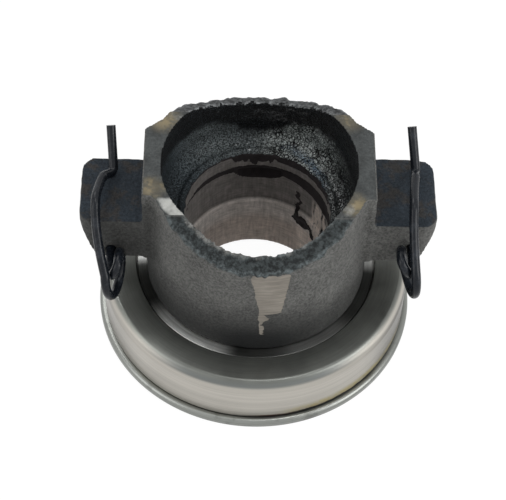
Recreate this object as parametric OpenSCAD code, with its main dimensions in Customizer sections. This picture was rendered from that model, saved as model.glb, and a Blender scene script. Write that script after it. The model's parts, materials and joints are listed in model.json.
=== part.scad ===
// Clutch release bearing: a cast carrier that slides on a gearbox quill, a ball thrust bearing in a
// pressed shell at its lower end, and two wire clips that hold the fork fingers on its ears.
// +Z points from the clutch to the gearbox, the ears lie along X, and Z = 0 is the clutch face.

/* [Carrier] */
// Bore that slides on the quill
bore_d = 35; // [34:0.1:36]
// Depth of the grease recess between the two lands of the bore
recess_depth = 0.7; // [0.3:0.1:1.5]
// Height of the lower land's upper edge
recess_low_z = 17.6; // [15:0.2:20]
// Height of the upper land's lower edge
recess_high_z = 31.4; // [28:0.2:33]
// Height of the carrier's lower end above the clutch face
nose_end_z = 0.6; // [0.5:0.1:2]
// Diameter of the nose that the bearing is pressed on
nose_d = 44; // [43:0.2:45]
// Outside diameter of the collar at its base
collar_base_d = 53.8; // [53:0.2:55]
// Outside diameter of the collar at its rim
collar_rim_d = 52.8; // [52:0.2:54]
// Height of the machined pads above the clutch face
pad_z = 53.2; // [51:0.2:56]
// Length of the machined pads along Y
pad_len = 31.4; // [28:0.2:34]
// Fall of the cast rim in front of and behind the pads, in degrees
rim_fall = 35; // [25:1:40]
// Inside diameter of the mouth
mouth_d = 45.8; // [44:0.2:47]
// Height of the mouth's floor at the bore
floor_z = 36.2; // [35:0.2:38]
// Slope of the mouth's floor, in degrees
floor_slope = 22; // [10:1:30]
// Hollow between the mouth's floor and wall
floor_fillet = 3.6; // [2:0.1:4]
// Bevel on the nose's end, outside and in the bore, and on the collar's lower edge
edge_bevel = 0.4; // [0.3:0.1:0.9]

/* [Ears] */
// Distance between the ends of the two ears
ear_span = 84; // [82:0.5:88]
// Width of an ear along Y
ear_w = 19.2; // [18:0.2:20]
// How much further the right ear reaches to the rear
right_ear_more = 1.2; // [0:0.2:2]
// Height of the ears' upper faces
ear_top_z = 42.7; // [42:0.1:44]
// Thickness of an ear
ear_t = 13.6; // [12:0.2:15]
// How far an ear's end draws in towards its underside
ear_draft = 3.8; // [1:0.2:5]
// Height of the upright band at the top of an ear's end
ear_band = 3.4; // [2:0.2:6]
// Rounding of an ear's outer corners
ear_corner_r = 3.6; // [2:0.2:5]
// Distance between the side flats below the pads
flat_span = 54; // [53.8:0.1:56]
// Width of a side flat along Y
flat_w = 20.2; // [20:0.1:22]
// How far the rear of a side flat runs on along Y to meet the collar
flat_slant = 3.8; // [3:0.1:4.4]

/* [Bearing] */
// Diameter of the turning race's flange
flange_d = 78.4; // [78:0.2:80]
// Thickness of that flange
flange_t = 2.7; // [2.2:0.1:3]
// Rounding of the flange's edge
flange_round = 1; // [0.4:0.1:1.1]
// Outside diameter of the pressed shell
shell_d = 75.6; // [75.4:0.2:77]
// Height of the shell's upper face
shell_top_z = 16.7; // [16:0.1:18]
// Sheet thickness of the shell
shell_wall = 1; // [0.8:0.1:1.2]
// Rounding of the shell's shoulder
shell_round = 2.2; // [1.6:0.1:3]
// Diameter of the hole in the shell's upper face
shell_hole_d = 59.1; // [58:0.1:60]
// Thickness of the lip that is rolled in at the shell's lower edge
lip_t = 0.8; // [0.6:0.1:1]
// Reach of that lip under the turning race's shoulder
lip_reach = 1.1; // [0.8:0.1:1.3]
// How far the fixed race's boss stands up in the shell's hole
boss_rise = 0.3; // [0.1:0.1:0.8]
// Room on each side of a ball, towards the nose and towards the shell
side_room = 3.43; // [3.3:0.01:3.6]
// How far the circle of the balls lies outside the middle of that room
pitch_shift = 0.6; // [0.4:0.1:0.8]
// Distance between the facing lands of the two races
land_gap = 4.24; // [3.8:0.02:4.8]
// Wall of the cage ring beside its pockets
cage_wall = 1.3; // [0.9:0.1:1.5]
// Least web of the cage between two pockets, which sets the number of balls
cage_web = 3.3; // [2.8:0.1:3.4]
// Radial width of the inner seal
seal_w = 3.1; // [2.8:0.1:3.3]
// Height of the inner seal
seal_h = 3; // [2:0.1:3.4]

/* [Clips] */
// Wire diameter
wire_d = 2.2; // [1.8:0.1:2.3]
// Diameter of a coil at the middle of the wire
coil_d = 10.4; // [10:0.2:12]
// Diameter of the tighter half turn between the anchored end and the coil
hook_d = 4.4; // [4:0.1:4.8]
// Height of the arm's bend above the heel
arm_rise = 3.2; // [3:0.1:4]
// How far the arm runs on past the ear's front edge before it levels out
arm_run = 2.8; // [2:0.2:3]
// Height of the crook above the heel that rests on the ear
crook_rise = 1.7; // [1.2:0.1:2.2]
// Distance from the crook to the heel along Y
heel_step = 2.4; // [2.2:0.1:3]
// Slope of the lead-in tip, in degrees
tip_slope = 45; // [35:1:55]
// Length of the lead-in tip
tip_len = 11.2; // [9:0.2:13]
// Distance of the left coil's outer turn from the middle
left_coil_x = 35.5; // [35:0.1:37]
// Distance of the left arm's crook from the middle
left_arm_x = 36.7; // [36:0.1:39]
// Distance from the ear's front edge to the crook at the end of the left arm
left_crook_y = 11.2; // [10.8:0.2:13]
// How far the left arm bows outwards
left_bow = 1.8; // [0:0.1:2.4]
// Distance of the left heel from the middle
left_tip_x = 34.3; // [34:0.1:37]
// How far the end of the left lead-in tip lies outside its heel
left_tip_out = 0.8; // [-1.6:0.1:1.2]
// Lean of the left coil, its lower side towards the middle, in degrees
left_lean = 2; // [0:1:4]
// How far the back of the left coil lies inside its front
left_spread = 3; // [3:0.1:4]
// How far the left coil hangs below the ear's underside
left_drop = 4.2; // [0:0.2:5]
// Distance of the right coil's outer turn from the middle
right_coil_x = 36.7; // [35:0.1:37]
// Distance of the right arm's crook from the middle
right_arm_x = 37; // [36:0.1:39]
// Distance from the ear's front edge to the crook at the end of the right arm
right_crook_y = 12.6; // [10.8:0.2:13]
// How far the right arm bows outwards
right_bow = -0.8; // [-1.2:0.1:2.4]
// Distance of the right heel from the middle
right_tip_x = 37.4; // [34:0.1:38]
// How far the end of the right lead-in tip lies outside its heel
right_tip_out = -1.3; // [-1.6:0.1:1.2]
// Lean of the right coil, its lower side towards the middle, in degrees
right_lean = -10; // [-12:1:4]
// How far the back of the right coil lies inside its front
right_spread = 3.2; // [3.2:0.1:4.4]
// How far the right coil hangs below the ear's underside
right_drop = 1.4; // [0:0.2:5]
// Depth of the hole in an ear's front face that holds the end of its clip
anchor_depth = 6; // [4:0.2:8]

/* [Clearances] */
// Between a ball and its races
ball_gap = 0.05; // [0.03:0.01:0.1]
// Between a ball and its pocket
pocket_gap = 0.14; // [0.1:0.01:0.2]
// Between the cage and the faces of the races
cage_gap = 0.4; // [0.3:0.05:0.6]
// Between turning and fixed edges at the shell
run_gap = 0.35; // [0.3:0.05:0.4]
// Between the seal's lip and the nose
seal_gap = 0.15; // [0.1:0.05:0.3]
// Between the shell's hole and the fixed race's boss
hole_gap = 0.25; // [0.1:0.05:0.5]
// Between pieces that are pressed together
press_gap = 0.01; // [0.01:0.01:0.03]
// Between the coils and the ears, and between the heels and the ears
clip_gap = 0.3; // [0.2:0.05:0.5]
// Between a coil's back and the leg beside it
leg_gap = 0.2; // [0.2:0.05:0.4]
// Around a clip's end in its anchor hole
anchor_gap = 0.08; // [0.05:0.01:0.1]

/* [Hidden] */
$fn = 96;
// How far cutting shapes stand past the faces that they cut
past = 2;

// Radii of the carrier
bore_r = bore_d / 2;
nose_r = nose_d / 2;
mouth_r = mouth_d / 2;

// Heights and depths of the ears
ear_low_z = ear_top_z - ear_t;
ear_front_y = -ear_w / 2;

// The bearing's section, from the shell inwards
shell_r = shell_d / 2;
shell_in_r = shell_r - shell_wall;
race_top_z = shell_top_z - shell_wall;
collar_seat_z = race_top_z + boss_rise;
lip_z = flange_t + run_gap;
shoulder_r = shell_in_r - run_gap;
shoulder_z = lip_z + lip_t + run_gap;
lip_r = shell_in_r - lip_reach;
neck_r = lip_r - run_gap;
ball_r = (shell_in_r - nose_r) / 2 - side_room;
groove_r = ball_r + ball_gap;
pitch_r = (nose_r + shell_in_r) / 2 + pitch_shift;
ball_z = race_top_z / 2;
low_land_z = ball_z - land_gap / 2;
high_land_z = ball_z + land_gap / 2;
pocket_r = ball_r + pocket_gap;
ball_count = floor(180 / asin((pocket_r + cage_web / 2) / pitch_r));
seal_in_r = nose_r + seal_gap;
seal_out_r = seal_in_r + seal_w;
race_in_r = seal_out_r + press_gap;

// Clip route, seen from the side
wire_r = wire_d / 2;
coil_r = coil_d / 2;
coil_y = ear_front_y - clip_gap - wire_r - coil_r;
leg_step = wire_d + leg_gap;
heel_z = ear_top_z + clip_gap + wire_r;
arm_top_y = ear_front_y + arm_run;
arm_top_z = heel_z + arm_rise;
anchor_end_y = ear_front_y + anchor_depth - clip_gap;
arm_bend_r = 2 * wire_d;
crook_bend_r = 0.8 * wire_d;

// Turn from the start of a coil to the end of its tighter half, and to its back, in degrees
hook_turn = 180;
back_turn = 270;
// Sides of the wire, and turn between its rings in degrees
wire_sides = 12;
coil_step = 18;
bend_steps = 4;
// Rings along each straight stretch of a bowed arm
arm_steps = 3;

BALLS = [for (i = [1 : ball_count]) str("ball_", i < 10 ? "0" : "", i)];

// A rectangle between two corners of a turned section, given as [radius, height]
module band(low, high) {
    translate(low) square([high[0] - low[0], high[1] - low[1]]);
}

// The quarter of a disc that rounds an outer upper corner at the given corner point
module rounded_corner(corner, r) {
    intersection() {
        translate([corner[0] - r, corner[1] - r]) circle(r);
        band([corner[0] - r, corner[1] - r], corner);
    }
}

// A solid section with its outer upper corner rounded
module rounded_band(low, high, r) {
    band(low, [high[0], high[1] - r]);
    band(low, [high[0] - r, high[1]]);
    rounded_corner(high, r);
}

// Collar and nose before they are bored
module turned_blank() {
    base_r = collar_base_d / 2;
    rotate_extrude() {
        polygon([
            [0, nose_end_z],
            [nose_r - edge_bevel, nose_end_z],
            [nose_r, nose_end_z + edge_bevel],
            [nose_r, collar_seat_z],
            [base_r - edge_bevel, collar_seat_z],
            [base_r, collar_seat_z + edge_bevel],
            [collar_rim_d / 2, pad_z],
            [0, pad_z],
        ]);
    }
}

// One ear with its end drawn in below, pointing along +X and reaching further by more on its +Y side
module ear(more) {
    reach = ear_span / 2;
    round_x = reach - ear_corner_r;
    low_y = ear_front_y + ear_corner_r;
    high_y = ear_w / 2 + more - ear_corner_r;
    intersection() {
        translate([0, 0, ear_low_z]) linear_extrude(ear_t) {
            translate([0, ear_front_y]) square([round_x, ear_w + more]);
            translate([0, low_y]) square([reach, high_y - low_y]);
            for (y = [low_y, high_y]) translate([round_x, y]) circle(ear_corner_r);
        }
        translate([0, ear_w, 0]) rotate([90, 0, 0]) linear_extrude(2 * ear_w) polygon([
            [nose_r, ear_low_z],
            [reach - ear_draft, ear_low_z],
            [reach, ear_top_z - ear_band],
            [reach, ear_top_z],
            [nose_r, ear_top_z],
        ]);
    }
}

// The upright block between an ear and the pad above it, on the +X side, slanting back to the collar at its rear
module side_flat() {
    translate([0, 0, ear_low_z]) linear_extrude(pad_z - ear_low_z) polygon([
        [nose_r, -flat_w / 2],
        [flat_span / 2, -flat_w / 2],
        [flat_span / 2, flat_w / 2],
        [nose_r, flat_w / 2 + flat_slant],
    ]);
}

// Bore with its two lands, the grease recess between them and bevelled ends
module bore_cut() {
    rotate_extrude() polygon([
        [0, nose_end_z - past],
        [bore_r + edge_bevel + past, nose_end_z - past],
        [bore_r, nose_end_z + edge_bevel],
        [bore_r, recess_low_z],
        [bore_r + recess_depth, recess_low_z + recess_depth],
        [bore_r + recess_depth, recess_high_z],
        [bore_r, recess_high_z],
        [bore_r, floor_z],
        [0, floor_z],
    ]);
}

// Open mouth above the bore: a sloping floor that turns up into the wall in a hollow
module mouth_cut() {
    centre_r = mouth_r - floor_fillet;
    floor_at_centre = floor_z + (centre_r - bore_r) * tan(floor_slope);
    centre_z = floor_at_centre + floor_fillet / cos(floor_slope);
    rotate_extrude() {
        polygon([
            [0, floor_z],
            [bore_r, floor_z],
            [centre_r + floor_fillet * sin(floor_slope), centre_z - floor_fillet * cos(floor_slope)],
            [centre_r, centre_z],
            [mouth_r, centre_z],
            [mouth_r, pad_z + past],
            [0, pad_z + past],
        ]);
        translate([centre_r, centre_z]) circle(floor_fillet);
    }
}

// What falls away from the rim beyond one end of the pads, towards -Y
module rim_cut() {
    reach = max(collar_base_d, collar_rim_d) / 2 + past;
    drop = (reach - pad_len / 2) * tan(rim_fall);
    rotate([90, 0, 90]) translate([0, 0, -reach]) linear_extrude(2 * reach) polygon([
        [-pad_len / 2, pad_z],
        [-reach, pad_z - drop],
        [-reach, pad_z + past],
        [-pad_len / 2, pad_z + past],
    ]);
}

// Blind hole in the front face of the ear on the +X side, along the end of its clip
module anchor_hole(coil_x, lean, spread, drop) {
    start = coil_points(coil_x, lean, spread, drop)[0];
    translate([start[0], ear_front_y - past, start[2]]) rotate([-90, 0, 0])
        cylinder(r = wire_r + anchor_gap, h = anchor_depth + past);
}

// One casting: nose, collar, mouth and both ears
module carrier() {
    color("dimgray") difference() {
        union() {
            turned_blank();
            ear(right_ear_more);
            rotate([0, 0, 180]) ear(0);
            for (side = [0, 1]) mirror([side, 0, 0]) side_flat();
        }
        bore_cut();
        mouth_cut();
        for (turn = [0, 180]) rotate([0, 0, turn]) rim_cut();
        mirror([1, 0, 0]) anchor_hole(left_coil_x, left_lean, left_spread, left_drop);
        anchor_hole(right_coil_x, right_lean, right_spread, right_drop);
    }
}

// The round track that the balls run in, as a section to cut away
module ball_track() {
    translate([pitch_r, ball_z]) circle(groove_r);
}

// Upper race, pressed on the nose and held by the shell
module stationary_race() {
    inner_r = nose_r + press_gap;
    boss_r = shell_hole_d / 2 - hole_gap;
    color("silver") rotate_extrude() difference() {
        union() {
            rounded_band([inner_r, high_land_z], [shell_in_r - press_gap, race_top_z], shell_round - shell_wall);
            band([inner_r, high_land_z], [boss_r, collar_seat_z]);
        }
        ball_track();
    }
}

// Pressed shell with a rounded shoulder, rolled in below to keep the turning race
module bearing_shell() {
    color("gray") rotate_extrude() difference() {
        rounded_band([shell_hole_d / 2, lip_z], [shell_r, shell_top_z], shell_round);
        rounded_band([0, lip_z + lip_t], [shell_in_r, race_top_z], shell_round - shell_wall);
        band([0, lip_z - past], [lip_r, lip_z + lip_t]);
    }
}

// Lower race: the clutch face, its flange, and the shoulder behind the shell's lip
module rotating_race() {
    color("silver") rotate_extrude() difference() {
        union() {
            rounded_band([race_in_r, flange_round], [flange_d / 2, flange_t], flange_round);
            mirror([0, 1]) rounded_band([race_in_r, -flange_t / 2], [flange_d / 2, 0], flange_round);
            band([race_in_r, flange_t / 2], [neck_r, low_land_z]);
            band([race_in_r, shoulder_z], [shoulder_r, low_land_z]);
        }
        ball_track();
    }
}

// Flat ring that spaces the balls
module ball_cage() {
    low_z = low_land_z + cage_gap;
    height = land_gap - 2 * cage_gap;
    color("goldenrod") difference() {
        translate([0, 0, low_z]) linear_extrude(height) difference() {
            circle(pitch_r + pocket_r + cage_wall);
            circle(pitch_r - pocket_r - cage_wall);
        }
        for (i = [0 : ball_count - 1]) rotate([0, 0, i * 360 / ball_count])
            translate([pitch_r, 0, low_z - past]) cylinder(r = pocket_r, h = height + 2 * past);
    }
}

// Seal ring pressed in the turning race, with its lip at the nose
module inner_seal() {
    color("black") rotate_extrude() polygon([
        [seal_in_r, nose_end_z + edge_bevel],
        [seal_out_r, nose_end_z + edge_bevel],
        [seal_out_r, nose_end_z + edge_bevel + seal_h],
        [seal_out_r - seal_w / 2, nose_end_z + edge_bevel + seal_h],
        [seal_in_r, nose_end_z + edge_bevel + seal_h / 2],
    ]);
}

// One ball in its place on the pitch circle
module ball(i) {
    color("lightgray") rotate([0, 0, i * 360 / ball_count]) translate([pitch_r, 0, ball_z]) sphere(ball_r);
}

function unit(v) = v / norm(v);

// Points of the arc of radius r that rounds the corner at b on the way from a to c
function bend(a, b, c, r) =
    let (
        u = unit(a - b),
        v = unit(c - b),
        half = acos(u * v) / 2,
        centre = b + unit(u + v) * r / sin(half),
        inward = unit(u + v),
        across = unit(u - v),
        sweep = 90 - half
    )
    [for (k = [0 : bend_steps]) let (t = sweep * (1 - 2 * k / bend_steps))
        centre + r * (across * sin(t) - inward * cos(t))];

// Height of a coil's middle
function coil_z(drop) = ear_low_z - drop + wire_r + coil_r;

// Turn of a coil, in degrees, from its anchored end to the arm that leaves it at a tangent
function coil_turn(drop) =
    let (to_bend = [arm_top_y - coil_y, arm_top_z - coil_z(drop)])
    360 + back_turn - atan2(to_bend[1], to_bend[0]) - acos(coil_r / norm(to_bend));

// Rise from 0 to 1 that starts and ends level
function ease(share) = (1 - cos(180 * share)) / 2;

// How far a point of a coil lies inside the start of the arm: most at the coil's back
function inset(t, turn, spread) =
    t > back_turn ? spread * ease((turn - t) / (turn - back_turn))
    : spread - leg_step * ease(1 - min(t / hook_turn, 1));

// Points of a coil from its anchored end, through the tighter half turn, to the start of the arm
function coil_points(coil_x, lean, spread, drop) =
    let (
        turn = coil_turn(drop),
        arm_z = coil_z(drop) - coil_r * cos(turn),
        steps = ceil(turn / coil_step)
    )
    [for (k = [0 : steps])
        let (
            t = turn * k / steps,
            r = t < hook_turn ? hook_d / 2 : coil_r,
            z = coil_z(drop) + coil_r - r * (1 + cos(t))
        )
        [coil_x - inset(t, turn, spread) - (arm_z - z) * tan(lean), coil_y - r * sin(t), z]];

// Points between two others on a straight line
function between(a, b) = [for (k = [1 : arm_steps]) a + (b - a) * k / (arm_steps + 1)];

// Middle line of a clip on the +X side, from its end in the ear to the lead-in tip
function clip_route(coil_x, arm_x, crook_y, bow, tip_x, tip_out, lean, spread, drop) =
    let (
        coil = coil_points(coil_x, lean, spread, drop),
        anchor_end = [coil[0][0], anchor_end_y, coil[0][2]],
        arm_start = coil[len(coil) - 1],
        crook_at_y = ear_front_y + crook_y,
        arm_length = crook_at_y - arm_start[1],
        arm_top_x = coil_x + (arm_x - coil_x) * (arm_top_y - arm_start[1]) / arm_length,
        arm_top = [arm_top_x, arm_top_y, arm_top_z],
        crook = [arm_x, crook_at_y, heel_z + crook_rise],
        heel = [tip_x, crook_at_y + heel_step, heel_z],
        tip = heel + [tip_out, tip_len * cos(tip_slope), tip_len * sin(tip_slope)],
        top_bend = bend(arm_start, arm_top, crook, arm_bend_r),
        crook_bend = bend(arm_top, crook, heel, crook_bend_r),
        arm = concat(
            between(arm_start, top_bend[0]),
            top_bend,
            between(top_bend[bend_steps], crook_bend[0])
        )
    )
    concat(
        [anchor_end],
        coil,
        [for (p = arm) p + [bow * sin(180 * (p[1] - arm_start[1]) / arm_length), 0, 0]],
        crook_bend,
        bend(crook, heel, tip, crook_bend_r),
        [tip]
    );

// Round wire along a route that never runs along X
module wire(route) {
    last = len(route) - 1;
    points = [
        for (i = [0 : last])
            let (
                along = unit(route[min(i + 1, last)] - route[max(i - 1, 0)]),
                side = unit([1, 0, 0] - along[0] * along),
                up = cross(along, side)
            )
            for (k = [0 : wire_sides - 1])
                let (t = 360 * k / wire_sides)
                route[i] + wire_r * (side * cos(t) + up * sin(t))
    ];
    faces = concat(
        [[for (k = [wire_sides - 1 : -1 : 0]) k]],
        [
            for (i = [0 : last - 1], k = [0 : wire_sides - 1])
                let (a = i * wire_sides + k, b = i * wire_sides + (k + 1) % wire_sides)
                each [[a, b, b + wire_sides], [a, b + wire_sides, a + wire_sides]]
        ],
        [[for (k = [0 : wire_sides - 1]) last * wire_sides + k]]
    );
    polyhedron(points, [for (f = faces) [for (k = [len(f) - 1 : -1 : 0]) f[k]]]);
}

// Wire clip of the left ear
module left_clip() {
    route = clip_route(
        left_coil_x, left_arm_x, left_crook_y, left_bow, left_tip_x, left_tip_out,
        left_lean, left_spread, left_drop);
    color("black") mirror([1, 0, 0]) wire(route);
}

// Wire clip of the right ear
module right_clip() {
    route = clip_route(
        right_coil_x, right_arm_x, right_crook_y, right_bow, right_tip_x, right_tip_out,
        right_lean, right_spread, right_drop);
    color("black") wire(route);
}

carrier();
stationary_race();
bearing_shell();
rotating_race();
ball_cage();
inner_seal();
left_clip();
right_clip();
for (i = [0 : ball_count - 1])
    ball(i);
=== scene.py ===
"""Finish of a clutch release bearing: cast carrier, pressed shell, races and wire clips on a pale floor."""

import json
import math

import bmesh
import bpy
import numpy as np
from bpy.props import FloatProperty, FloatVectorProperty, IntProperty, PointerProperty
from mathutils import Matrix, Vector, noise


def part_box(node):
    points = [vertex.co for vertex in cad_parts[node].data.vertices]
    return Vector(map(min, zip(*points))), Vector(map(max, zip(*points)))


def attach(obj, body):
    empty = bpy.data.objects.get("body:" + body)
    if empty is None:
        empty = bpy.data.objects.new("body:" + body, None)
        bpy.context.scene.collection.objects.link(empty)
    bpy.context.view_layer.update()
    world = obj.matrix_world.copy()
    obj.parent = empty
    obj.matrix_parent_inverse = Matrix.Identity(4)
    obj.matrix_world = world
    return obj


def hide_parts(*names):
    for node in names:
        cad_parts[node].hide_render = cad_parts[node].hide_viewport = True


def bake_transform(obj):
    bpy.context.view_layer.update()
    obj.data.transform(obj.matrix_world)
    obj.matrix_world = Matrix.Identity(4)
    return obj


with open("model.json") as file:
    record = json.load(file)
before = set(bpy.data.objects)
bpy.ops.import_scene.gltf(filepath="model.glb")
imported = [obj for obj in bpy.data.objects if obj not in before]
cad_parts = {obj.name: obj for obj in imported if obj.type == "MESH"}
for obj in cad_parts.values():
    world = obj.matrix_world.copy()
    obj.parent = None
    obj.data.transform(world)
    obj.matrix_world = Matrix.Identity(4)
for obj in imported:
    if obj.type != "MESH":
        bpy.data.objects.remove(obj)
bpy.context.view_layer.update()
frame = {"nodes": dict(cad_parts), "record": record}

bl_info = {
    "name": "Clutch release bearing",
    "version": (1, 0, 0),
    "blender": (4, 5, 0),
    "location": "3D View > Sidebar > Release bearing",
    "description": "Builds the visible pieces of a clutch release bearing around its solids",
    "category": "Object",
}

MM = 0.001

# Points nearer than the first are merged, and a length that divides is never below the second
MERGE_GAP = 0.002 * MM
TINY = 1e-6

# Sizes of the solids that the finish follows, in millimetres
CARRIER_LOW, CARRIER_HIGH = (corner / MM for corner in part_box("carrier"))
FLANGE_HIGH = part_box("rotating_race")[1] / MM
SHELL_LOW, SHELL_HIGH = (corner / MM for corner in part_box("bearing_shell"))
BORE_R = next(m["dims"]["r_mm"] for m in frame["record"]["mounts"] if m["name"] == "quill_bore")
RECESS_DEPTH = 0.7
RECESS_LOW_Z = 17.6
RECESS_HIGH_Z = 31.4
NOSE_R = 22.0
MOUTH_R = 22.9
FLOOR_Z = 36.2
PAD_Z = CARRIER_HIGH.z
PAD_HALF = 15.7
RIM_FALL = math.radians(35)
RIM_R = 26.4
COLLAR_SEAT_Z = 16.0
EAR_TOP_Z = 42.7
EAR_LOW_Z = 29.1
EAR_FRONT_Y = -9.6
FLAT_X = 27.0

# Marks on the casting: heights in millimetres, turns in degrees around Z
GATE_TOP_Z = 45.0
GATE_LOW_Z = 30.4
GATE_END_Z = 22.2
SHEEN_TURN = 48
SLOT_TURN = 88
DRIP_TURN = 91
STREAK_TURN = 29
CRACK_TURN = 54
BLOB_TURN = 46.5
BLOB_Z = 14.8

# Tan stains on the pads: x, y and reach in millimetres
TAN_STAINS = ((-24.6, -7.6, 3.4), (-22.4, 13.0, 4.0), (21.3, 13.6, 3.6), (21.9, -11.6, 3.4))

# Pressed shell and races, in millimetres
SHELL_R = SHELL_HIGH.x
SHELL_WALL = 1.0
SHELL_TOP_Z = SHELL_HIGH.z
SHELL_LOW_Z = SHELL_LOW.z
SHELL_HOLE_R = 29.55
SHOULDER_DROP = 1.45
SHOULDER_LEAN = 0.4
SHOULDER_END = 3.0
LIP_T = 0.8
LIP_REACH = 1.1
FLANGE_R = FLANGE_HIGH.x
FLANGE_T = 2.7
RUN_GAP = 0.35
HOLE_GAP = 0.25
RACE_IN_R = 25.26
PITCH_R = 30.0
GROOVE_R = 4.02
LAND_GAP = 4.24
PRESS_GAP = 0.01
RACE_GAP = 0.02
TRACK_ROUND = 0.01

# Painted highlights on the fixed race: middle and half width in degrees, and how bright each is
RACE_HIGHLIGHTS = ((-126, 28, 1.0), (-60, 26, 0.16), (174, 12, 0.5), (4, 12, 0.6))

# Wire clips, in millimetres
WIRE_R = 1.1
COIL_R = 5.2
HOOK_R = 2.2
CLIP_GAP = 0.3
LEG_STEP = 2.4
ANCHOR_DEPTH = 6.0
HEEL_Z = EAR_TOP_Z + CLIP_GAP + WIRE_R
COIL_Y = EAR_FRONT_Y - CLIP_GAP - WIRE_R - COIL_R
ARM_TOP = (EAR_FRONT_Y + 2.8, HEEL_Z + 3.2)
CROOK_Z = HEEL_Z + 1.7
HEEL_STEP = 2.4
TIP_SLOPE = math.radians(45)
TIP_LEN = 11.2
HOOK_TURN = math.radians(180)
BACK_TURN = math.radians(270)
ARM_BEND_R = 4.0
CROOK_BEND_R = 1.6
CLIPS = {
    "left": {
        "side": -1,
        "coil_x": 35.5,
        "arm_x": 36.7,
        "crook_y": 11.2,
        "bow": 1.8,
        "tip_x": 34.3,
        "tip_out": 0.8,
        "lean": 2,
        "spread": 3.0,
        "drop": 4.2,
    },
    "right": {
        "side": 1,
        "coil_x": 36.7,
        "arm_x": 37.0,
        "crook_y": 12.6,
        "bow": -0.8,
        "tip_x": 37.4,
        "tip_out": -1.3,
        "lean": -10,
        "spread": 3.2,
        "drop": 1.4,
    },
}

# Lamps: place and size in metres
LAMPS = {
    "left": ((-0.75, -0.35, 0.5), (0.5, 0.7)),
    "right": ((0.75, -0.35, 0.5), (0.5, 0.7)),
    "rear": ((-0.3, 0.5, 0.75), (0.4, 0.4)),
    "spark": ((0.12, -0.05, 0.9), (0.06, 0.06)),
}
SENSOR_MM = 36
NEAR_CLIP = 0.01


def paint(red, green, blue):
    """Linear colour of an 8-bit screen colour."""
    shares = (channel / 255 for channel in (red, green, blue))
    return tuple(s / 12.92 if s <= 0.04045 else ((s + 0.055) / 1.055) ** 2.4 for s in shares)


def colour(name, description, red, green, blue):
    """A colour that a user can change, given as an 8-bit screen colour."""
    start = paint(red, green, blue)
    return FloatVectorProperty(
        name=name, description=description, default=start, subtype="COLOR", size=3, min=0, max=1
    )


def length(name, description, millimetres):
    """A length that a user can change."""
    return FloatProperty(name=name, description=description, default=millimetres * MM, unit="LENGTH")


def strength(name, description, start, **kind):
    """A plain number that a user can change."""
    return FloatProperty(name=name, description=description, default=start, **kind)


def tilt(name, description, degrees):
    """An angle that a user can change."""
    return FloatProperty(name=name, description=description, default=math.radians(degrees), subtype="ANGLE")


class CarrierSettings(bpy.types.PropertyGroup):
    """Skin and colours of the cast carrier."""

    voxel: length("Voxel", "Edge of the cells that the casting's skin is rebuilt from", 0.49)
    lump: length("Lumps", "Height of the casting's slow lumps", 0.11)
    grain: length("Grain", "Height of the casting's grain", 0.06)
    flash: length("Flash", "Height of the ragged flash on the rear rim", 1.35)
    dish: length("Dish", "Rounding between the mouth's floor and its wall", 4)
    iron: colour("Iron", "Blasted faces of the casting", 131, 131, 128)
    # Dark end of the casting's grain, and the colour of the painted shade on the barrel and the left ear
    iron_dark: colour("Iron in hollows", "Hollows and sooty places of the casting", 34, 35, 35)
    ear_top: colour("Ear tops", "Dark upper faces of the ears", 46, 53, 60)
    ear_brown: colour("Ear stains", "Brown patches on the ears' upper faces", 62, 58, 54)
    rim: colour("Rim", "Rough rim in front", 62, 67, 68)
    rim_rear: colour("Rear rim", "Rough rim at the rear", 92, 94, 95)
    # Painted highlight: the rear rim is painted lighter than the front one, as a reflection of light from
    # behind
    gate: colour("Gate mark", "Ground place of the casting's gate", 142, 136, 127)
    pad: colour("Pads", "Ground pads beside the mouth", 67, 70, 70)
    pad_bright: colour("Pad ends", "Brighter ends of the pads", 182, 183, 179)
    tan: colour("Tan stain", "Tan stains on the pads", 146, 133, 104)
    mouth: colour("Mouth", "Black coat of the mouth", 14, 15, 16)
    # Painted light: the pale zone on the mouth's floor, and the glints on its wall
    mouth_lit: colour("Mouth grain", "Pale grain on the mouth's floor", 60, 67, 71)
    # Painted light on the wet beads inside the pale zone
    lit_mouth_beads: colour("Mouth beads", "Wet beads of the mouth's coat", 158, 164, 162)
    # Painted reflection: a bluish sheen on the coat beside the bore
    mouth_sheen: colour("Mouth sheen", "Bluish sheen of the coat beside the bore", 112, 144, 176)
    bore: colour("Bore", "Lower land of the bore", 198, 192, 187)
    bore_dark: colour("Bore recess", "Recess and upper land of the bore", 126, 122, 119)
    bore_foot: colour("Bore foot", "Rusty foot of the bore", 156, 130, 110)
    bore_flake: colour("Bore flakes", "Light flakes on the bore's right side", 226, 214, 204)
    # Also the colour of the painted shade under the bore's upper land and at its slot
    grease: colour("Grease", "Black grease in the bore", 50, 46, 47)


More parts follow.
